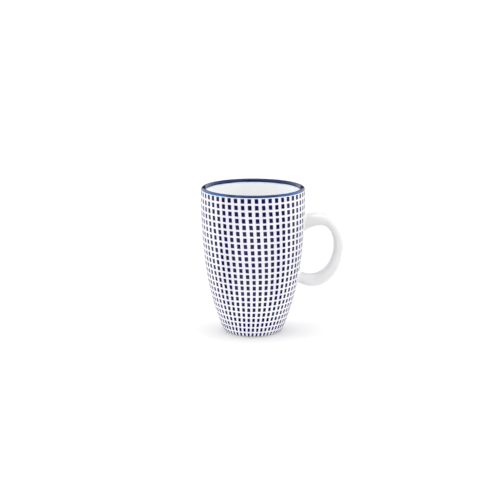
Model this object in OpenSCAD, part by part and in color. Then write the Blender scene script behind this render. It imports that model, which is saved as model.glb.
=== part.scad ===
// Tall stoneware mug: a glazed cup with a ring handle, a cobalt band over the lip and a printed grid of squares.
// The origin is the centre of the flat foot. The handle points along +X and the front of the cup is -Y.

/* [Cup] */
// Height from the table to the top of the lip
cup_h = 121; // [117:1:125]
// Outer radius at the lip
rim_r = 42.5; // [42:0.1:43]
// Radius that the wall's curve is drawn towards at the belly
belly_r = 43.4; // [42.5:0.1:44.5]
// Height of that belly point
belly_z = 46.3; // [43:0.1:50]
// Radius that the wall's curve is drawn towards above the heel
waist_r = 31.3; // [30:0.1:32]
// Height of that waist point
waist_z = 20.1; // [17:0.1:23]
// Radius at which the wall leaves the rounded heel
heel_r = 25.9; // [25:0.1:26.5]
// Height at which the wall leaves the rounded heel
heel_z = 5; // [4.5:0.1:6]
// Wall thickness, both glazes included
wall_t = 4; // [3.5:0.1:4.5]
// Height of the floor inside the cup
floor_z = 6.5; // [6:0.1:8]
// Height at which the inside wall starts to round into the floor
bowl_z = 18; // [16:0.5:22]

/* [Foot] */
// Outer radius of the flat foot, glaze included
foot_r = 22.7; // [22:0.1:23.5]
// Radius of the recess under the cup
recess_r = 18.5; // [17:0.1:19.5]
// Depth of that recess
recess_h = 2; // [1.5:0.1:3]
// Height of the bare clay above the table
bare_h = 0.6; // [0.4:0.05:0.7]

/* [Glaze] */
// Thickness of the glaze
glaze_t = 0.35; // [0.2:0.05:0.5]
// How far the cobalt band comes down outside the lip
band_outside = 1.7; // [1.2:0.1:1.9]
// How far the cobalt band comes down inside the lip
band_inside = 2.7; // [2.2:0.1:4]

/* [Handle] */
// Height at which the handle's centreline leaves the wall
upper_root_z = 91.3; // [89:0.1:94]
// Height at which the centreline comes back to the wall
lower_root_z = 46.1; // [44:0.1:49]
// Distance of the centreline's outermost point from the cup's axis
grip_x = 70.6; // [67:0.1:73]
// Height of that outermost point
grip_z = 72.6; // [70:0.1:75]
// Distance from the axis of the point that draws the upper branch outwards
crest_x = 67.4; // [64:0.1:69]
// Height of that point
crest_z = 102.1; // [99:0.1:105]
// Distance from the axis of the point that draws the lower branch outwards
keel_x = 57.1; // [54:0.1:60]
// Height of that point
keel_z = 34.8; // [32:0.1:38]
// Thickness of the handle where its upper branch leaves the wall
upper_root_t = 12.6; // [11:0.1:13.5]
// Thickness of the handle at its outermost point
grip_t = 8.8; // [8:0.1:10]
// Thickness of the handle where its lower branch meets the wall
lower_root_t = 8.4; // [8:0.1:10]
// Width of the handle across its plane
handle_w = 12.4; // [10:0.1:14]
// Radius of the fillets where the handle meets the wall
fillet_r = 2; // [1:0.1:3]

/* [Pattern] */
// Number of rows of squares
row_count = 24; // [23:1:26]
// Number of squares round the cup
column_count = 48; // [40:1:56]
// Distance of the first row's middle below the lip
first_row_drop = 4.3; // [4.2:0.1:6]
// Height of the last row's middle
last_row_z = 2.3; // [2.3:0.1:3]
// Spacing of the last rows as a share of the first rows' spacing
row_squeeze = 0.83; // [0.78:0.01:0.95]
// Width of a square as a share of the column spacing
square_w = 0.53; // [0.4:0.01:0.65]
// Height of a square as a share of the row spacing
square_h = 0.7; // [0.5:0.01:0.7]
// Height by which the printed squares stand proud of the glaze
ink_t = 0.1; // [0.05:0.01:0.2]
// Gap kept between the squares and the handle's fillets
root_gap = 0.5; // [0.3:0.1:2]

/* [Hidden] */
$fn = 96;
glaze_colour = "whitesmoke";
clay_colour = "wheat";
cobalt_colour = "midnightblue";
ink_colour = "darkslateblue";

SQUARE_ROWS = [for (i = [1:row_count]) str("square_row_", i < 10 ? "0" : "", i)];

// ---- Curves ----

// A Bezier curve of any degree, over numbers or points.
function bezier(p, t) =
    len(p) == 1 ? p[0] : bezier([for (i = [0:len(p) - 2]) p[i] * (1 - t) + p[i + 1] * t], t);

// The parameter at which a curve of [radius, height] points that only climbs reaches height z.
function param_at(p, z, low = 0, high = 1, steps = 30) =
    let (middle = (low + high) / 2)
    steps == 0 ? middle :
    bezier(p, middle)[1] < z
        ? param_at(p, z, middle, high, steps - 1)
        : param_at(p, z, low, middle, steps - 1);

// The heel runs on into the wall in the same direction.
heel_tangent = 3.6;
wall_slope = (waist_r - heel_r) / (waist_z - heel_z);
heel_curve = [[foot_r, 0], [heel_r - wall_slope * heel_tangent, heel_z - heel_tangent], [heel_r, heel_z]];
wall_curve = [[heel_r, heel_z], [waist_r, waist_z], [belly_r, belly_z], [rim_r, cup_h]];

// The outer radius of the glazed cup at height z.
function outer_r(z) =
    let (curve = z < heel_z ? heel_curve : wall_curve)
    bezier(curve, param_at(curve, z))[0];

// ---- Rows of squares ----

last_row = row_count - 1;
row_span = cup_h - first_row_drop - last_row_z;
first_pitch = 2 * row_span / last_row / (1 + row_squeeze);
pitch_loss = first_pitch * (1 - row_squeeze) / last_row;

// The rows are counted downwards from 0, and they close up evenly towards the foot.
function row_pitch(i) = first_pitch - pitch_loss * i;
function row_z(i) = cup_h - first_row_drop - first_pitch * i + pitch_loss * i * i / 2;
function row_low(i) = row_z(i) - square_h * row_pitch(i) / 2;
function row_high(i) = row_z(i) + square_h * row_pitch(i) / 2;

// The columns drift round the cup on their way down: angles in degrees, from the front towards the handle.
column_drift = [3.5, 6.4, 12.5, 6.7];
column_pitch = 360 / column_count;
function column_angle(i, j) = bezier(column_drift, i / last_row) + column_pitch * j;

// ---- Section of the cup ----

lip_r = wall_t / 2;
lip_centre = [outer_r(cup_h - lip_r) - lip_r, cup_h - lip_r];
lip_step = 15;
band_angle = asin((lip_r - band_outside) / lip_r);
inside_steps = 14;
bowl_steps = 10;
bowl_low_z = 9;
bowl_low_r = 20;
bowl_flat_r = 12;

// Each row of squares lies on one straight stretch of the wall, so that its patches sit flush on the glaze.
outside_heights = concat(
    [0, bare_h],
    [for (i = [last_row:-1:0]) each [row_low(i), row_high(i)]],
    [cup_h - lip_r]
);
lip_angles = concat([band_angle], [for (a = [2 * lip_step:lip_step:180]) a]);
inside_top = cup_h - band_inside;
inside_heights = [for (i = [0:inside_steps - 1]) inside_top - (inside_top - bowl_z) * i / inside_steps];

band_start = len(outside_heights);
band_end = band_start + len(lip_angles);

function inner_r(z, inset) = outer_r(z) - wall_t + inset;

function bowl_curve(inset) = [
    [inner_r(bowl_z, inset), bowl_z],
    [inner_r(bowl_low_z, inset), bowl_low_z],
    [bowl_low_r + inset, floor_z - inset],
    [bowl_flat_r, floor_z - inset]
];

function outside_outline(inset) = [for (z = outside_heights) [outer_r(z) - inset, z]];

// The whole surface from the foot's edge, over the lip and down to the middle of the floor, set into the
// clay by inset. Its points have the same count and order at every inset.
function surface_outline(inset) = concat(
    outside_outline(inset),
    [for (a = lip_angles) lip_centre + (lip_r - inset) * [cos(a), sin(a)]],
    [for (z = inside_heights) [inner_r(z, inset), z]],
    [for (s = [0:bowl_steps]) bezier(bowl_curve(inset), s / bowl_steps)],
    [[0, floor_z - inset]]
);

glazed_outline = surface_outline(0);
clay_outline = surface_outline(glaze_t);
outline_end = len(clay_outline) - 1;

// The ring of glaze between two points of the outline.
module glaze_skin(first, last) {
    rotate_extrude() polygon(concat(
        [for (k = [first:last]) glazed_outline[k]],
        [for (k = [last:-1:first]) clay_outline[k]]
    ));
}

// The cup as if it were solid, for trimming what stands on it.
module solid_cup(inset) {
    rotate_extrude() polygon(concat([[0, 0]], outside_outline(inset), [[0, cup_h - lip_r]]));
}

// ---- Handle ----

section_sides = 20;
grip_steps = 28;
root_steps = 9;
joint_share = 0.12;
buried_share = 0.11;

// The centreline and the thickness run in two stretches, 0 to 1 above the outermost point and 1 to 2 below it.
// The centreline runs straight down past the outermost point. The thickness is drawn towards two values between
// each root and that point.
above_grip = [0, 6];
below_grip = [0, -18];
upper_branch_t = [8.4, 7.8];
lower_branch_t = [7.4, 15];

upper_root = [outer_r(upper_root_z), upper_root_z];
lower_root = [outer_r(lower_root_z), lower_root_z];
grip = [grip_x, grip_z];
upper_curve = [upper_root, [crest_x, crest_z], grip + above_grip, grip];
lower_curve = [grip, grip + below_grip, [keel_x, keel_z], lower_root];
upper_thickness = concat(upper_root_t, upper_branch_t, grip_t);
lower_thickness = concat(grip_t, lower_branch_t, lower_root_t);

function along(upper, lower, s) = s < 1 ? bezier(upper, s) : bezier(lower, s - 1);
function centre(s) = along(upper_curve, lower_curve, s);
function thickness(s) = along(upper_thickness, lower_thickness, s);

// The direction of travel along the centreline at s.
function heading(s) =
    let (step = 0.001, d = centre(s + step) - centre(s - step))
    d / norm(d);

function unit(v) = v / norm(v);

// How far a fillet of radius r stands out from the handle at a height of gap above the wall.
function flare(gap, r) = gap >= r ? 0 : r - sqrt(pow(r, 2) - pow(r - max(gap, 0), 2));

// One oval section of the handle, inset from its glazed surface. Near the wall its points spread along the wall.
function handle_section(s, inset) =
    let (middle = centre(s), ahead = heading(s), half_t = thickness(s) / 2 - inset, half_w = handle_w / 2 - inset)
    [for (k = [0:section_sides - 1])
        let (
            turn = 360 * k / section_sides,
            out = [-ahead[1] * half_t * cos(turn), half_w * sin(turn), ahead[0] * half_t * cos(turn)],
            point = [middle[0], 0, middle[1]] + out,
            radius = norm([point[0], point[1]]),
            off_axis = [point[0], point[1], 0] / radius,
            gap = radius - outer_r(point[2]) + inset
        )
        point + unit(out - (out * off_axis) * off_axis) * flare(gap, fillet_r + inset)];

function steps_between(first, last, count) = [for (i = [0:count]) first + (last - first) * i / count];

upper_steps = steps_between(-buried_share, joint_share, root_steps);
middle_steps = steps_between(joint_share, 2 - joint_share, grip_steps);
lower_steps = steps_between(2 - joint_share, 2 + buried_share, root_steps);
skin_steps = concat(upper_steps, [for (k = [1:grip_steps - 1]) middle_steps[k]], lower_steps);

// Triangles round a tube whose rings start at point number start. Turned over, they face inwards.
function tube_faces(rings, start, turned) = [
    for (i = [0:rings - 2], k = [0:section_sides - 1])
        let (
            next = (k + 1) % section_sides,
            here = start + i * section_sides,
            there = here + section_sides,
            pair = [[here + k, here + next, there + next], [here + k, there + next, there + k]]
        )
        for (t = pair) turned ? [t[0], t[2], t[1]] : t
];

function cap_face(start) = [for (k = [0:section_sides - 1]) start + k];
function reversed(list) = [for (k = [len(list) - 1:-1:0]) list[k]];

// The joining faces between an outer ring and the ring inside it.
function rim_faces(outer, inner, turned) = [
    for (k = [0:section_sides - 1])
        let (next = (k + 1) % section_sides, face = [outer + k, inner + k, inner + next, outer + next])
        turned ? reversed(face) : face
];

module handle_core(steps) {
    last = (len(steps) - 1) * section_sides;
    polyhedron(
        [for (s = steps) each handle_section(s, glaze_t)],
        concat(tube_faces(len(steps), 0, false), [reversed(cap_face(0)), cap_face(last)])
    );
}

module handle_skin(steps) {
    count = len(steps);
    inner = count * section_sides;
    last = inner - section_sides;
    polyhedron(
        [for (inset = [0, glaze_t], s = steps) each handle_section(s, inset)],
        concat(
            tube_faces(count, 0, false),
            tube_faces(count, inner, true),
            rim_faces(0, inner, false),
            rim_faces(last, inner + last, true)
        )
    );
}

// ---- Where the handle covers the pattern ----

// True if square j of row i comes within root_gap of the fillets of a handle root.
function by_root(i, j, root_z, root_t) =
    let (
        z = row_z(i),
        arc_mm = outer_r(z) * PI / 180,
        aside = (column_angle(i, j) - 90) * arc_mm,
        reach_aside = handle_w / 2 + fillet_r + root_gap + square_w * column_pitch * arc_mm / 2,
        reach_above = root_t / 2 + fillet_r + root_gap + square_h * row_pitch(i) / 2
    )
    norm([aside / reach_aside, (z - root_z) / reach_above]) < 1;

function under_handle(i, j) =
    by_root(i, j, upper_root_z, upper_root_t) || by_root(i, j, lower_root_z, lower_root_t);

// ---- Sub-parts ----

module cup_body() {
    color(clay_colour) rotate_extrude() polygon(concat(
        [for (k = [1:outline_end]) clay_outline[k]],
        [[0, recess_h], [recess_r, recess_h], [recess_r, bare_h]]
    ));
}

module foot_ring() {
    color(clay_colour) rotate_extrude() polygon([
        [recess_r, 0], clay_outline[0], clay_outline[1], [recess_r, bare_h]
    ]);
}

module outer_glaze() {
    color(glaze_colour) difference() {
        glaze_skin(1, band_start);
        handle_core(upper_steps);
        handle_core(lower_steps);
    }
}

module inner_glaze() {
    color(glaze_colour) glaze_skin(band_end, outline_end);
}

module base_glaze() {
    glazed_r = recess_r - glaze_t;
    glazed_h = recess_h - glaze_t;
    color(glaze_colour) rotate_extrude() polygon([
        [0, glazed_h], [glazed_r, glazed_h], [glazed_r, bare_h],
        [recess_r, bare_h], [recess_r, recess_h], [0, recess_h]
    ]);
}

module rim_band() {
    color(cobalt_colour) glaze_skin(band_start, band_end);
}

module handle() {
    color(clay_colour) handle_core(middle_steps);
}

module handle_glaze() {
    color(glaze_colour) difference() {
        handle_skin(skin_steps);
        solid_cup(0);
    }
}

module handle_joint(steps) {
    color(clay_colour) difference() {
        handle_core(steps);
        solid_cup(glaze_t);
    }
}

module upper_handle_joint() {
    handle_joint(upper_steps);
}

module lower_handle_joint() {
    handle_joint(lower_steps);
}

// One row of separate printed patches, left out where the handle's roots stand.
module square_row(i) {
    low = row_low(i);
    high = row_high(i);
    width = square_w * column_pitch;
    color(ink_colour)
    for (j = [0:column_count - 1])
        if (!under_handle(i, j))
            rotate([0, 0, column_angle(i, j) - width / 2 - 90])
            rotate_extrude(angle = width)
            polygon([
                [outer_r(low), low], [outer_r(low) + ink_t, low],
                [outer_r(high) + ink_t, high], [outer_r(high), high]
            ]);
}

cup_body();
foot_ring();
outer_glaze();
inner_glaze();
base_glaze();
rim_band();
handle();
handle_glaze();
upper_handle_joint();
lower_handle_joint();
for (i = [0:last_row]) square_row(i);
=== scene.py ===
"""The looks of a tall stoneware mug around its packed clay: glazes, cobalt lip, printed squares and handle.

Metres, +Z up. The origin is the centre of the flat foot, the handle points along +X and the front is -Y.
"""

import math

import bmesh
import bpy
import numpy as np
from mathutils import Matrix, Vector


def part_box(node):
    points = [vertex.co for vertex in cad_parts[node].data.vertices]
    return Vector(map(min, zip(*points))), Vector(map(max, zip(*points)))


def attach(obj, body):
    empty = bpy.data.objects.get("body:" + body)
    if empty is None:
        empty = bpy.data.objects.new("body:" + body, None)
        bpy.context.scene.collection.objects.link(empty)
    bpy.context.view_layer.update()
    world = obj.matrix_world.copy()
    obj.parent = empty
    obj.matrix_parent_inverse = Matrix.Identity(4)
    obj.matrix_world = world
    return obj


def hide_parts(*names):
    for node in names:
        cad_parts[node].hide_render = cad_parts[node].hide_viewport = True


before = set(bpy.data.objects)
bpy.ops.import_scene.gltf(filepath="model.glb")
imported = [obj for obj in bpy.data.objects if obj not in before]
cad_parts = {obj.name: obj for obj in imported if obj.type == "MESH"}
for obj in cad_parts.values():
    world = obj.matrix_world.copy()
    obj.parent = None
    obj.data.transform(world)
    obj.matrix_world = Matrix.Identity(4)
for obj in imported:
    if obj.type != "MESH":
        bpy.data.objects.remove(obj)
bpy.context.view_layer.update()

MM = 0.001
rng = np.random.default_rng(11)

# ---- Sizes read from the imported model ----

CUP_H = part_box("rim_band")[1].z
GLAZE_T = CUP_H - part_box("cup_body")[1].z
BARE_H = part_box("foot_ring")[1].z
RECESS_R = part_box("base_glaze")[1].x
RECESS_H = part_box("base_glaze")[1].z
FLOOR_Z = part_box("inner_glaze")[0].z + GLAZE_T
BAND_TOP_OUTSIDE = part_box("outer_glaze")[1].z
BAND_TOP_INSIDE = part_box("inner_glaze")[1].z
ROWS = sorted(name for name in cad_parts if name.startswith("square_row_"))

# ---- Driving sizes of the curves, the same as the design's ----

WALL_T = 4 * MM
LIP_R = WALL_T / 2
HEEL_TANGENT = 3.6 * MM
FOOT_POINT = np.array([22.7, 0]) * MM
HEEL_POINT = np.array([25.9, 5]) * MM
WAIST_POINT = np.array([31.3, 20.1]) * MM
BELLY_POINT = np.array([43.4, 46.3]) * MM
RIM_POINT = np.array([42.5 * MM, CUP_H])

BOWL_Z = 18 * MM
BOWL_LOW_Z = 9 * MM
BOWL_LOW_R = 20 * MM
BOWL_FLAT_R = 12 * MM

UPPER_ROOT_Z = 91.3 * MM
LOWER_ROOT_Z = 46.1 * MM
GRIP_POINT = np.array([70.6, 72.6]) * MM
GRIP_ABOVE = np.array([0, 6]) * MM
GRIP_BELOW = np.array([0, -18]) * MM
CREST_POINT = np.array([67.4, 102.1]) * MM
KEEL_POINT = np.array([57.1, 34.8]) * MM
UPPER_THICKNESS = np.array([12.6, 8.4, 7.8, 8.8]) * MM
LOWER_THICKNESS = np.array([8.8, 7.4, 15, 8.4]) * MM
HANDLE_W = 12.4 * MM
# Fuller than the design's 2 mm, so that the faceted clay joints stay covered.
FILLET_R = 2.7 * MM

COLUMN_COUNT = 48
COLUMN_DRIFT = (3.5, 6.4, 12.5, 6.7)
SQUARE_W = 0.53
SQUARE_H = 0.7
INK_T = 0.1 * MM

# ---- Small chances of handwork, only in the looks ----

BAND_WAVER_OUTSIDE = math.radians(3)
BAND_WAVER_INSIDE = 0.15 * MM
WIDTH_SPREAD = 0.02
HEIGHT_SPREAD = 0.015
RISE_SPREAD = 0.04 * MM
TURN_SPREAD = math.radians(0.04)
TILT_SPREAD = math.radians(0.06)


# ---- Curves ----

def bezier(points, t):
    """The points of a Bezier curve of any degree at each parameter in t."""
    t = np.asarray(t, float)[..., None]
    stages = [np.atleast_1d(np.asarray(point, float)) for point in points]
    while len(stages) > 1:
        stages = [a * (1 - t) + b * t for a, b in zip(stages, stages[1:])]
    return stages[0]


WALL_SLOPE = (WAIST_POINT[0] - HEEL_POINT[0]) / (WAIST_POINT[1] - HEEL_POINT[1])
HEEL_CURVE = [FOOT_POINT, HEEL_POINT - HEEL_TANGENT * np.array([WALL_SLOPE, 1]), HEEL_POINT]
WALL_CURVE = [HEEL_POINT, WAIST_POINT, BELLY_POINT, RIM_POINT]
OUTLINE = np.vstack([
    bezier(HEEL_CURVE, np.linspace(0, 1, 80))[:-1],
    bezier(WALL_CURVE, np.linspace(0, 1, 700)),
])


def outer_r(z):
    """The outer radius of the glazed cup at height z."""
    return np.interp(z, OUTLINE[:, 1], OUTLINE[:, 0])


def at(angle, radius, z):
    """Points at an angle in radians, from the front towards the handle."""
    return np.stack(np.broadcast_arrays(radius * np.sin(angle), -radius * np.cos(angle), z), axis=-1)


# ---- Mesh helpers ----

def new_piece(name, vertices, faces, replaced, sharp_angle=60, merge_distance=1e-7):
    """A closed, smooth-shaded mesh that rides on the root body."""
    mesh = bpy.data.meshes.new(name)
    mesh.from_pydata(np.asarray(vertices).tolist(), [], faces)
    build = bmesh.new()
    build.from_mesh(mesh)
    bmesh.ops.remove_doubles(build, verts=build.verts, dist=merge_distance)
    bmesh.ops.recalc_face_normals(build, faces=build.faces)
    build.to_mesh(mesh)
    build.free()
    mesh.shade_smooth()
    mesh.set_sharp_from_angle(angle=math.radians(sharp_angle))
    piece = bpy.data.objects.new(name, mesh)
    bpy.context.scene.collection.objects.link(piece)
    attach(piece, "root")
    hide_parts(*replaced)
    return piece


def loop_faces(ring_count, side_count):
    """Quads between rings, where both the rings and their order close on themselves."""
    faces = []
    for i in range(ring_count):
        here = i * side_count
        there = (i + 1) % ring_count * side_count
        for k in range(side_count):
            step = (k + 1) % side_count
            faces.append((here + k, here + step, there + step, there + k))
    return faces


def revolve(name, profile_at, replaced, sides=256):
    """A closed outline of [radius, z] points turned round the axis. It may change with the angle."""
    angles = np.linspace(0, 2 * math.pi, sides, endpoint=False)
    profiles = np.stack([profile_at(angle) for angle in angles], axis=1)
    vertices = at(angles, profiles[..., 0], profiles[..., 1]).reshape(-1, 3)
    return new_piece(name, vertices, loop_faces(len(profiles), sides), replaced)


def arc(centre, radius, first, last, count):
    """Points of an arc between two angles in radians."""
    turn = np.linspace(first, last, count)
    return np.asarray(centre) + radius * np.stack([np.cos(turn), np.sin(turn)], axis=1)


# ---- Cup ----

LIP_CENTRE = np.array([outer_r(CUP_H - LIP_R) - LIP_R, CUP_H - LIP_R])
BAND_ANGLE = math.asin((BAND_TOP_OUTSIDE - LIP_CENTRE[1]) / LIP_R)
BAND_PROUD = 0.03 * MM


def brush_wave(angle, seed):
    """A slow waver, from -1 to 1, that closes on itself round the cup."""
    slow = 0.5 * math.sin(5 * angle + seed)
    return slow + 0.3 * math.sin(11 * angle + 2 * seed) + 0.2 * math.sin(17 * angle)


def band_low_angle(angle):
    return BAND_ANGLE + BAND_WAVER_OUTSIDE * brush_wave(angle, 1)


def band_inside_z(angle):
    return BAND_TOP_INSIDE + BAND_WAVER_INSIDE * brush_wave(angle, 4)


def wall_points(first_z, last_z, inset, count):
    z = np.linspace(first_z, last_z, count)
    return np.stack([outer_r(z) - inset, z], axis=1)


def lip_points(first, last, inset, count=24):
    return arc(LIP_CENTRE, LIP_R - inset, first, last, count)


def outer_glaze_profile(angle):
    lip_start = band_low_angle(angle)
    outside = np.vstack([
        wall_points(BARE_H + GLAZE_T / 2, CUP_H - LIP_R, 0, 90),
        lip_points(0, lip_start, 0)[1:],
    ])
    inside = np.vstack([
        wall_points(BARE_H + GLAZE_T / 2, CUP_H - LIP_R, GLAZE_T, 90),
        lip_points(0, lip_start, GLAZE_T)[1:],
    ])
    roll_centre = [outer_r(BARE_H + GLAZE_T / 2) - GLAZE_T / 2, BARE_H + GLAZE_T / 2]
    roll = arc(roll_centre, GLAZE_T / 2, -math.pi, 0, 8)
    return np.vstack([roll[:-1], outside, inside[::-1][:-1]])


def band_profile(angle):
    start = band_low_angle(angle)
    end_z = band_inside_z(angle)

    def side(inset):
        down = np.linspace(LIP_CENTRE[1], end_z, 6)[1:]
        inner = np.stack([outer_r(down) - WALL_T + inset, down], axis=1)
        return np.vstack([lip_points(start, math.pi, inset, 40), inner])
    return np.vstack([side(-BAND_PROUD), side(GLAZE_T)[::-1]])


def bowl_points(inset, count=40):
    """The rounded inside of the cup, from the wall to the middle of the floor."""
    curve = [
        [outer_r(BOWL_Z) - WALL_T + inset, BOWL_Z],
        [outer_r(BOWL_LOW_Z) - WALL_T + inset, BOWL_LOW_Z],
        [BOWL_LOW_R + inset, FLOOR_Z - inset],
        [BOWL_FLAT_R, FLOOR_Z - inset],
    ]
    return np.vstack([bezier(curve, np.linspace(0, 1, count)), [[0, FLOOR_Z - inset]]])


def inner_glaze_profile(angle):
    start_z = band_inside_z(angle)

    def side(inset):
        return np.vstack([wall_points(start_z, BOWL_Z, WALL_T - inset, 60)[:-1], bowl_points(inset)])
    return np.vstack([side(0), side(GLAZE_T)[::-1]])


def base_glaze_profile(angle):
    corner = 0.5 * MM
    glazed_r = RECESS_R - GLAZE_T
    glazed_h = RECESS_H - GLAZE_T
    visible = np.vstack([
        [[0, glazed_h]],
        arc([glazed_r - corner, glazed_h - corner], corner, math.pi / 2, 0, 10),
        [[glazed_r, BARE_H]],
    ])
    return np.vstack([visible, [[RECESS_R, BARE_H], [RECESS_R, RECESS_H], [0, RECESS_H]]])


def foot_profile(angle):
    edge = 0.2 * MM
    outside = outer_r(0) - GLAZE_T
    return np.vstack([
        arc([RECESS_R + edge, edge], edge, -math.pi, -math.pi / 2, 8),
        arc([outside - edge, edge], edge, -math.pi / 2, 0, 8),
        [[outer_r(BARE_H) - GLAZE_T, BARE_H], [RECESS_R, BARE_H]],
    ])


outer_glaze = revolve("outer_wall_glaze", outer_glaze_profile, ["outer_glaze"])
band = revolve("cobalt_lip", band_profile, ["rim_band"])
inner_glaze = revolve("bowl_glaze", inner_glaze_profile, ["inner_glaze"])
base_glaze = revolve("recess_glaze", base_glaze_profile, ["base_glaze"], sides=160)
foot = revolve("bare_foot", foot_profile, ["foot_ring"], sides=160)


# ---- Handle ----

UPPER_CURVE = [[outer_r(UPPER_ROOT_Z), UPPER_ROOT_Z], CREST_POINT, GRIP_POINT + GRIP_ABOVE, GRIP_POINT]
LOWER_CURVE = [GRIP_POINT, GRIP_POINT + GRIP_BELOW, KEEL_POINT, [outer_r(LOWER_ROOT_Z), LOWER_ROOT_Z]]
SECTION_SIDES = 56


def along(upper, lower, s):
    """The upper stretch for s from 0 to 1 and the lower one from 1 to 2."""
    s = np.asarray(s, float)
    return np.where((s < 1)[..., None], bezier(upper, s), bezier(lower, s - 1))


def handle_centre(s):
    return along(UPPER_CURVE, LOWER_CURVE, s)


def handle_thickness(s):
    return along(UPPER_THICKNESS, LOWER_THICKNESS, s)[..., 0]


def handle_normal(s):
    """The outward normal of the handle's centreline, as [x, z]."""
    step = 0.001
    ahead = handle_centre(s + step) - handle_centre(s - step)
    ahead /= np.linalg.norm(ahead, axis=-1, keepdims=True)
    return np.stack([-ahead[..., 1], ahead[..., 0]], axis=-1)


TURN = np.linspace(0, 2 * math.pi, SECTION_SIDES, endpoint=False)


def unit(vectors):
    return vectors / np.linalg.norm(vectors, axis=-1, keepdims=True)


def plain_section(s, inset):
    """One point on each lengthwise line of the handle, at that line's own s, and its offset from the centre.

    The inset moves the surface inwards, to the inner side of the glaze.
    """
    centre = handle_centre(s)
    normal = handle_normal(s)
    across = (handle_thickness(s) / 2 - inset) * np.cos(TURN)
    aside = (HANDLE_W / 2 - inset) * np.sin(TURN)
    out = np.column_stack([normal[:, 0] * across, aside, normal[:, 1] * across])
    return out + np.column_stack([centre[:, 0], 0 * TURN, centre[:, 1]]), out


def wall_gap(points):
    return np.hypot(points[:, 0], points[:, 1]) - outer_r(points[:, 2])


def handle_ring(s, inset):
    """A ring of the handle's surface. Near the wall its points spread along the wall, into a fillet."""
    points, out = plain_section(s, inset)
    off_axis = unit(points * [1, 1, 0])
    along_wall = unit(out - off_axis * np.sum(out * off_axis, axis=1, keepdims=True))
    radius = FILLET_R + inset
    short = np.clip(radius - wall_gap(points) - inset, 0, radius)
    return points + along_wall * (radius - np.sqrt(radius ** 2 - short ** 2))[:, None]


def reach_gap(start, gap, inset, halvings=40):
    """The s at which each line stands a given gap off the wall, at the root that starts at s = start."""
    towards_grip = 1 - start
    near = np.full(SECTION_SIDES, start - 0.3 * towards_grip)
    far = np.full(SECTION_SIDES, start + 0.4 * towards_grip)
    for _ in range(halvings):
        middle = (near + far) / 2
        is_near = wall_gap(plain_section(middle, inset)[0]) < gap
        near = np.where(is_near, middle, near)
        far = np.where(is_near, far, middle)
    return far


def root_rings(start, join, inset, sink=0.5 * GLAZE_T, fillet_rings=14, join_rings=14):
    """Rings from just under the wall's surface, up the fillet, to the common ring at s = join."""
    radius = FILLET_R + inset
    turns = [math.pi / 2 * k / fillet_rings for k in range(1, fillet_rings + 1)]
    gaps = [-sink, 0] + [radius * (1 - math.cos(turn)) for turn in turns]
    rings = [handle_ring(reach_gap(start, gap - inset, inset), inset) for gap in gaps]
    last = reach_gap(start, radius - inset, inset)
    shares = np.linspace(0, 1, join_rings + 1)[1:-1]
    return rings + [handle_ring(last + (join - last) * share, inset) for share in shares]


def handle_side(inset, main_rings=70):
    """The surface from the upper root to the lower one."""
    upper_join = 0.36
    lower_join = 2 - upper_join
    steps = np.linspace(upper_join, lower_join, main_rings)
    main = [handle_ring(np.full(SECTION_SIDES, s), inset) for s in steps]
    return root_rings(0, upper_join, inset) + main + root_rings(2, lower_join, inset)[::-1]


def handle_skin():
    rings = handle_side(0) + handle_side(GLAZE_T)[::-1]
    faces = loop_faces(len(rings), SECTION_SIDES)
    return new_piece("glazed_handle", np.vstack(rings), faces, ["handle_glaze"])


handle = handle_skin()


# ---- Printed squares ----

def rounded_square(corner=0.2, per_corner=4):
    """The outline of a square from -1 to 1 with rounded corners."""
    centre = 1 - corner
    quarter = math.pi / 2
    corners = ((1, 1, 0), (-1, 1, quarter), (-1, -1, math.pi), (1, -1, -quarter))
    return np.vstack([
        arc([side_x * centre, side_y * centre], corner, first, first + quarter, per_corner)
        for side_x, side_y, first in corners
    ])


PATCH_OUTLINE = rounded_square()
PATCH_SIDES = len(PATCH_OUTLINE)
# Each ring of a patch: its share of the outline and its lift off the glaze.
PATCH_RINGS = ((1.0, -0.3 * INK_T), (1.0, 0.4 * INK_T), (0.93, 0.9 * INK_T), (0.5, 1.0 * INK_T))


def patch_shape():
    """Points [u, v, lift] of one patch and its faces: a low dome with a closed back."""
    rings = [
        np.column_stack([PATCH_OUTLINE * share, np.full(PATCH_SIDES, lift)])
        for share, lift in PATCH_RINGS
    ]
    points = np.vstack(rings + [[[0, 0, PATCH_RINGS[-1][1]], [0, 0, PATCH_RINGS[0][1]]]])
    top = len(points) - 2
    last = (len(PATCH_RINGS) - 1) * PATCH_SIDES
    faces = []
    for k in range(PATCH_SIDES):
        step = (k + 1) % PATCH_SIDES
        for i in range(len(PATCH_RINGS) - 1):
            here = i * PATCH_SIDES
            there = here + PATCH_SIDES
            faces.append((here + k, here + step, there + step, there + k))
        faces.append((last + k, last + step, top))
        faces.append((step, k, top + 1))
    return points, faces


PATCH_POINTS, PATCH_FACES = patch_shape()
COLUMN_PITCH = 2 * math.pi / COLUMN_COUNT
LAST_ROW = len(ROWS) - 1


def row_drift(i):
    """The angle of the row's first column. Half rows give the places between rows."""
    return math.radians(bezier(COLUMN_DRIFT, i / LAST_ROW)[0])


def is_printed(row, angle):
    """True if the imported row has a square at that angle: none is printed where the handle stands."""
    return np.min(np.abs((ROW_ANGLES[row] - angle + math.pi) % (2 * math.pi) - math.pi)) < COLUMN_PITCH / 2


def node_angles(name):
    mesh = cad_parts[name].data
    points = np.array([vertex.co for vertex in mesh.vertices])
    return np.arctan2(points[:, 0], -points[:, 1])


ROW_ANGLES = {row: node_angles(row) for row in ROWS}


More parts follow.
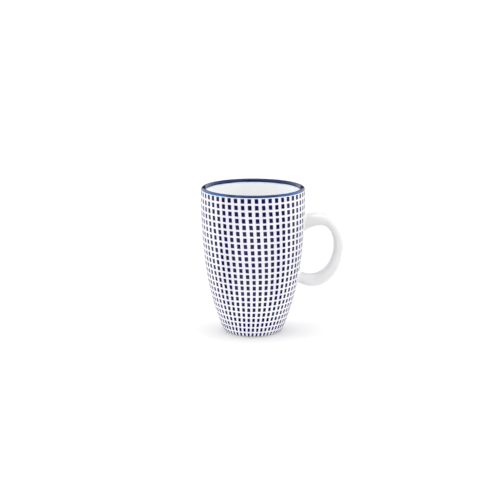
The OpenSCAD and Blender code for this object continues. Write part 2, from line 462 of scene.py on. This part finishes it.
def print_row(i, row):
    """One row of ink patches, each a little different in size, place and depth of colour."""
    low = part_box(row)[0].z
    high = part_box(row)[1].z
    drift_across = row_drift(i + 0.5) - row_drift(i - 0.5)
    pitch = (high - low) / SQUARE_H
    vertices = []
    faces = []
    tones = []
    for j in range(COLUMN_COUNT):
        wide, tall, shift_a, shift_z, tilt, tone = rng.normal(0, 1, 6)
        angle = row_drift(i) + COLUMN_PITCH * j
        if not is_printed(row, angle):
            continue
        half_a = COLUMN_PITCH * SQUARE_W / 2 * (1 + WIDTH_SPREAD * wide)
        half_z = (high - low) / 2 * (1 + HEIGHT_SPREAD * tall)
        z = (low + high) / 2 + RISE_SPREAD * shift_z + half_z * PATCH_POINTS[:, 1]
        slant = -drift_across * half_z / pitch + TILT_SPREAD * tilt
        a = angle + TURN_SPREAD * shift_a + half_a * PATCH_POINTS[:, 0] + slant * PATCH_POINTS[:, 1]
        start = len(vertices) * len(PATCH_POINTS)
        vertices.append(at(a, outer_r(z) + PATCH_POINTS[:, 2], z))
        faces += [tuple(start + corner for corner in face) for face in PATCH_FACES]
        tones += [tone] * len(PATCH_POINTS)
    piece = new_piece(row.replace("square", "ink"), np.vstack(vertices), faces, [row], 80)
    attribute = piece.data.attributes.new("tone", "FLOAT", "POINT")
    attribute.data.foreach_set("value", np.array(tones, np.float32))
    return piece


ink_rows = [print_row(i, row) for i, row in enumerate(ROWS)]


# ---- Materials ----

# The two colours that each surface varies between. The wall, bowl and handle wear one white glaze at three
# brightnesses, which is painted light: the bowl's white is raised to lift the shade inside the cup, and the
# handle's is lowered against the bright side light.
WALL_WHITES = ((0.75, 0.74, 0.81, 1), (0.79, 0.78, 0.85, 1))
BOWL_WHITES_LIFTED_FOR_SHADE = ((0.93, 0.94, 0.94, 1), (0.96, 0.965, 0.965, 1))
HANDLE_WHITES_DIMMED_FOR_LIGHT = ((0.69, 0.69, 0.69, 1), (0.72, 0.72, 0.72, 1))
INDIGOS = ((0.005, 0.002, 0.042, 1), (0.012, 0.006, 0.080, 1))
CLAYS = ((0.52, 0.45, 0.35, 1), (0.66, 0.59, 0.48, 1))

# Royal blue stands for thin cobalt and, where the side lights strike the lip, for painted highlight.
THICK_COBALT = (0.002, 0.005, 0.060, 1)
THIN_AND_LIT_COBALT = (0.025, 0.085, 0.28, 1)
COBALT_BLEED = (0.55, 0.76, 1.0, 1)
BLEED_H = 1.8 * MM
BLEED_WAVER = 0.3 * MM
BRUSH_AND_LIGHT_LOBES = 4.0
CLAY_SPECK = (0.16, 0.11, 0.07, 1)

# How much brighter the white is painted towards the foot, painted light that lifts the shade of the lower
# wall, and the brightest that a white may be.
FOOT_SHADE_LIFT = 1.13
BRIGHTEST_WHITE = 0.97

GLAZE_IOR = 1.5
PINHOLE_DEPTH = 0.01 * MM
PINHOLE_STRENGTH = 0.6


def new_material(name):
    material = bpy.data.materials.new(name)
    material.use_nodes = True
    tree = material.node_tree
    return material, tree, tree.nodes["Principled BSDF"]


def add_node(tree, kind, inputs=None, **settings):
    """A shader node with its settings and its inputs, each a plain value or another node's output."""
    added = tree.nodes.new(kind)
    for key, value in settings.items():
        setattr(added, key, value)
    for key, value in (inputs or {}).items():
        if isinstance(value, bpy.types.NodeSocket):
            tree.links.new(value, added.inputs[key])
        else:
            added.inputs[key].default_value = value
    return added


def position(tree):
    return add_node(tree, "ShaderNodeTexCoord").outputs["Object"]


def noise(tree, scale, detail=2.0):
    """Cloudy noise from 0 to 1. The scale is in cells per metre."""
    inputs = {"Vector": position(tree), "Scale": scale, "Detail": detail}
    return add_node(tree, "ShaderNodeTexNoise", inputs).outputs["Fac"]


def remap(tree, value, low, high, to_low=0.0, to_high=1.0, kind="SMOOTHSTEP"):
    """The stretch from low to high turned into the one from to_low to to_high, and held there beyond it."""
    inputs = {"Value": value, "From Min": low, "From Max": high, "To Min": to_low, "To Max": to_high}
    return add_node(tree, "ShaderNodeMapRange", inputs, interpolation_type=kind).outputs["Result"]


def mix(tree, factor, low, high):
    """The low colour where the factor is 0 and the high one where it is 1."""
    added = add_node(tree, "ShaderNodeMix", data_type="RGBA")
    for socket, value in ((added.inputs[0], factor), (added.inputs[6], low), (added.inputs[7], high)):
        if isinstance(value, bpy.types.NodeSocket):
            tree.links.new(value, socket)
        else:
            socket.default_value = value
    return added.outputs[2]


def bump(tree, height, distance, strength=1.0, below=None):
    """Relief of a distance in metres, laid over the relief below it."""
    inputs = {"Height": height, "Distance": distance, "Strength": strength}
    if below is not None:
        inputs["Normal"] = below
    return add_node(tree, "ShaderNodeBump", inputs).outputs["Normal"]


def glaze_surface(tree, shader, roughness_low, roughness_high, wobble):
    """The gloss and the faint unevenness that all the fired glazes share."""
    waves = noise(tree, scale=90, detail=1.0)
    pinholes = remap(tree, noise(tree, scale=1600, detail=1.0), 0.28, 0.36)
    roughness = remap(tree, noise(tree, scale=260), 0.3, 0.7, roughness_low, roughness_high)
    tree.links.new(roughness, shader.inputs["Roughness"])
    surface = bump(tree, pinholes, PINHOLE_DEPTH, PINHOLE_STRENGTH, below=bump(tree, waves, wobble))
    tree.links.new(surface, shader.inputs["Normal"])
    shader.inputs["IOR"].default_value = GLAZE_IOR


def white_glaze(name, whites, band_edge):
    """White glaze, painted brighter towards the foot to lift the shade there, with cobalt bled into it at
    the band's edge.
    """
    material, tree, shader = new_material(name)
    height = add_node(tree, "ShaderNodeSeparateXYZ", {"Vector": position(tree)}).outputs["Z"]
    even = mix(tree, remap(tree, noise(tree, scale=45, detail=3.0), 0.35, 0.65), *whites)
    # Painted light: the white grows brighter from half height down to the foot, lifting the shade on the
    # lower wall.
    shade_lifted_white = [min(FOOT_SHADE_LIFT * channel, BRIGHTEST_WHITE) for channel in whites[1][:3]] + [1]
    tone = mix(tree, remap(tree, height, 0, CUP_H / 2, 1.0, 0.0), even, shade_lifted_white)
    waver = remap(tree, noise(tree, scale=300), 0.3, 0.7, -BLEED_WAVER, BLEED_WAVER, "LINEAR")
    edge = add_node(tree, "ShaderNodeMath", {0: height, 1: waver}, operation="ADD").outputs[0]
    bleed = remap(tree, edge, band_edge - BLEED_H, band_edge, 0.0, 0.8)
    tree.links.new(mix(tree, bleed, tone, COBALT_BLEED), shader.inputs["Base Color"])
    glaze_surface(tree, shader, roughness_low=0.07, roughness_high=0.13, wobble=0.05 * MM)
    return material


def cobalt_glaze():
    """Cobalt, near black where it is thick and royal blue outside the lip where the brush left it thin. The
    royal blue is partly painted highlight: its four thin lobes sit 45 degrees either side of the front and
    the back, on the lip's outside, where the side lights strike the lip.
    """
    material, tree, shader = new_material("cobalt_glaze")
    place = add_node(tree, "ShaderNodeSeparateXYZ", {"Vector": position(tree)}).outputs
    turn = add_node(tree, "ShaderNodeMath", {0: place["X"], 1: place["Y"]}, operation="ARCTAN2")
    # Four lobes round the lip, thin 45 degrees either side of the front and the back: brushwork and painted
    # highlight where the side lights strike.
    brush_and_light_turns = add_node(tree, "ShaderNodeMath", {0: turn.outputs[0], 1: BRUSH_AND_LIGHT_LOBES}, operation="MULTIPLY")
    brush_and_light_wave = add_node(tree, "ShaderNodeMath", {0: brush_and_light_turns.outputs[0]}, operation="COSINE").outputs[0]
    cloud = remap(tree, noise(tree, scale=120, detail=3.0), 0.3, 0.7, -0.6, 0.6, "LINEAR")
    thickness = add_node(tree, "ShaderNodeMath", {0: brush_and_light_wave, 1: cloud}, operation="ADD").outputs[0]
    thin = remap(tree, thickness, 0.8, -0.9)
    flat = add_node(tree, "ShaderNodeVectorMath", {0: position(tree), 1: (1, 1, 0)}, operation="MULTIPLY")
    radius = add_node(tree, "ShaderNodeVectorMath", {0: flat.outputs[0]}, operation="LENGTH")
    # Royal blue only on the lip's outer side, which the side lights strike: partly painted highlight.
    edges = (LIP_CENTRE[0] + 0.2 * LIP_R, LIP_CENTRE[0] + 0.7 * LIP_R)
    outside = remap(tree, radius.outputs["Value"], *edges, 0.1, 1.0)
    amount = add_node(tree, "ShaderNodeMath", {0: thin, 1: outside}, operation="MULTIPLY").outputs[0]
    tree.links.new(mix(tree, amount, THICK_COBALT, THIN_AND_LIT_COBALT), shader.inputs["Base Color"])
    glaze_surface(tree, shader, roughness_low=0.05, roughness_high=0.10, wobble=0.05 * MM)
    shader.inputs["Specular IOR Level"].default_value = 0.3
    return material


def indigo_ink():
    """Fired-on indigo, with a tone of its own in each square."""
    material, tree, shader = new_material("indigo_ink")
    tone = add_node(tree, "ShaderNodeAttribute", attribute_name="tone").outputs["Fac"]
    grain = remap(tree, noise(tree, scale=900, detail=3.0), 0.3, 0.7, -0.6, 0.6, "LINEAR")
    depth = add_node(tree, "ShaderNodeMath", {0: tone, 1: grain}, operation="ADD").outputs[0]
    amount = remap(tree, depth, -2.5, 2.5, kind="LINEAR")
    tree.links.new(mix(tree, amount, *INDIGOS), shader.inputs["Base Color"])
    glaze_surface(tree, shader, roughness_low=0.10, roughness_high=0.18, wobble=0.04 * MM)
    shader.inputs["Specular IOR Level"].default_value = 0.28
    return material


def dry_clay():
    """Bare fired stoneware: matt, sandy and faintly speckled."""
    material, tree, shader = new_material("dry_clay")
    body = mix(tree, remap(tree, noise(tree, scale=220, detail=4.0), 0.3, 0.7), *CLAYS)
    specks = remap(tree, noise(tree, scale=1900, detail=1.0), 0.66, 0.72)
    tree.links.new(mix(tree, specks, body, CLAY_SPECK), shader.inputs["Base Color"])
    roughness = remap(tree, noise(tree, scale=700), 0.3, 0.7, 0.78, 0.95)
    tree.links.new(roughness, shader.inputs["Roughness"])
    sand = noise(tree, scale=2600, detail=3.0)
    tree.links.new(bump(tree, sand, 0.05 * MM), shader.inputs["Normal"])
    return material


def paint(pieces, material):
    for piece in pieces:
        piece.data.materials.clear()
        piece.data.materials.append(material)


clay = dry_clay()
# The same white glaze in three copies of different brightness: painted light, lifted in the shaded bowl and
# lowered on the handle under the strong side light.
wall_white = white_glaze("printed_wall_glaze", WALL_WHITES, BAND_TOP_OUTSIDE)
bowl_white = white_glaze("bowl_glaze", BOWL_WHITES_LIFTED_FOR_SHADE, BAND_TOP_INSIDE)
handle_white = white_glaze("handle_glaze", HANDLE_WHITES_DIMMED_FOR_LIGHT, BAND_TOP_INSIDE)
paint([outer_glaze], wall_white)
paint([inner_glaze, base_glaze], bowl_white)
paint([handle], handle_white)
paint([band], cobalt_glaze())
paint(ink_rows, indigo_ink())
paint([foot], clay)
for name in ("cup_body", "handle", "upper_handle_joint", "lower_handle_joint"):
    for material_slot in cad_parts[name].material_slots:
        material_slot.material = clay


# ---- Floor, painted dark reflections, light and camera ----

FLOOR_GREY = 0.66
FLOOR_GLOW = 0.20

SHEET_LIFT = 1 * MM
SHEET_FAR_EDGE = (1.5, SHEET_LIFT)
# Black sheets seen only in reflections, which is painted reflection of shade: the left, right and foot ones
# stand for the shadows the mug casts on the table, the front one for the table going dark farther off, and
# the back one for a dark strip behind. Each is given as first and last azimuth in degrees from the front,
# and the near and far edges as (distance, height).
DARK_REFLECTION_SHEETS = {
    "left_dark_reflection": (-76, -46, (0.06, SHEET_LIFT), SHEET_FAR_EDGE),
    "right_dark_reflection": (46, 76, (0.06, SHEET_LIFT), SHEET_FAR_EDGE),
    "front_dark_reflection": (-46, 46, (0.42, SHEET_LIFT), SHEET_FAR_EDGE),
    "back_dark_reflection": (165, 195, (0.45, SHEET_LIFT), (1.5, 0.45)),
    "foot_dark_reflection": (-80, 80, (0.027, SHEET_LIFT), (0.044, SHEET_LIFT)),
}

# Strengths of the light tent's parts.
TENT_DIM = 0.55
TENT_SIDES = 1.8
TENT_BACK = 1.0
TENT_TOP_SHARE = 0.4
SOFTBOX = 2.8

CAMERA_DISTANCE = 1.2
CAMERA_ELEVATION = math.radians(12.5)
CAMERA_AIM = np.array([-2.46, 0, 68.06]) * MM
CAMERA_LENS = 104.66


def white_floor():
    """A broad floor that glows a little, so that it shows as white as the background."""
    half = 20.0
    mesh = bpy.data.meshes.new("floor")
    corners = [(-half, -half, 0), (half, -half, 0), (half, half, 0), (-half, half, 0)]
    mesh.from_pydata(corners, [], [(0, 1, 2, 3)])
    floor = bpy.data.objects.new("floor", mesh)
    bpy.context.scene.collection.objects.link(floor)
    material, _, shader = new_material("pale_floor")
    shader.inputs["Base Color"].default_value = (FLOOR_GREY, FLOOR_GREY, FLOOR_GREY, 1)
    shader.inputs["Roughness"].default_value = 0.9
    shader.inputs["Specular IOR Level"].default_value = 0.1
    shader.inputs["Emission Color"].default_value = (1, 1, 1, 1)
    shader.inputs["Emission Strength"].default_value = FLOOR_GLOW
    mesh.materials.append(material)


def dark_reflection_sheet(name, first, last, near, far):
    """A black sheet between two azimuths and two (distance, height) edges. Only its reflection shows: a
    painted dark reflection, which casts no shadow and blocks no light.
    """
    count = 16
    angles = np.radians(np.linspace(first, last, count))
    corners = np.vstack([at(angles, *near), at(angles, *far)])
    faces = [(k, k + count, k + count + 1, k + 1) for k in range(count - 1)]
    mesh = bpy.data.meshes.new(name)
    mesh.from_pydata(corners.tolist(), [], faces)
    sheet = bpy.data.objects.new(name, mesh)
    bpy.context.scene.collection.objects.link(sheet)
    sheet.visible_camera = False
    sheet.visible_diffuse = False
    sheet.visible_transmission = False
    sheet.visible_shadow = False
    material, _, shader = new_material(name)
    shader.inputs["Base Color"].default_value = (0.01, 0.01, 0.01, 1)
    shader.inputs["Roughness"].default_value = 1.0
    shader.inputs["Specular IOR Level"].default_value = 0.0
    mesh.materials.append(material)


def studio():
    """A light tent: broad bright sides, a white backdrop, a softbox overhead and a dim front."""
    world = bpy.data.worlds.new("studio")
    bpy.context.scene.world = world
    world.use_nodes = True
    tree = world.node_tree
    direction = add_node(tree, "ShaderNodeTexCoord").outputs["Generated"]
    towards = add_node(tree, "ShaderNodeSeparateXYZ", {"Vector": direction}).outputs
    aside = add_node(tree, "ShaderNodeMath", {0: towards["X"]}, operation="ABSOLUTE").outputs[0]
    sides = remap(tree, aside, 0.20, 0.50, TENT_DIM, TENT_SIDES)
    backdrop = remap(tree, towards["Y"], 0.35, 0.70, TENT_DIM, TENT_BACK)
    walls = add_node(tree, "ShaderNodeMath", {0: sides, 1: backdrop}, operation="MAXIMUM").outputs[0]
    height_share = remap(tree, towards["Z"], 0.45, 0.80, 1.0, TENT_TOP_SHARE)
    tent = add_node(tree, "ShaderNodeMath", {0: walls, 1: height_share}, operation="MULTIPLY").outputs[0]
    softbox = remap(tree, towards["Z"], 0.84, 0.92, 0.0, SOFTBOX)
    strength = add_node(tree, "ShaderNodeMath", {0: tent, 1: softbox}, operation="ADD").outputs[0]
    background = tree.nodes["Background"]
    background.inputs["Color"].default_value = (1, 1, 1, 1)
    tree.links.new(strength, background.inputs["Strength"])


def camera():
    """Aimed at the mug from the front, looking down a little."""
    lens = bpy.data.cameras.new("camera")
    lens.sensor_width = 36
    lens.lens = CAMERA_LENS
    viewer = bpy.data.objects.new("camera", lens)
    towards_camera = np.array([0, -math.cos(CAMERA_ELEVATION), math.sin(CAMERA_ELEVATION)])
    viewer.location = CAMERA_AIM + CAMERA_DISTANCE * towards_camera
    viewer.rotation_euler = (math.pi / 2 - CAMERA_ELEVATION, 0, 0)
    bpy.context.scene.collection.objects.link(viewer)
    bpy.context.scene.camera = viewer


white_floor()
# Painted dark reflections, seen only by glossy rays.
for name, place in DARK_REFLECTION_SHEETS.items():
    dark_reflection_sheet(name, *place)
studio()
camera()
bpy.context.scene.view_settings.view_transform = "Standard"
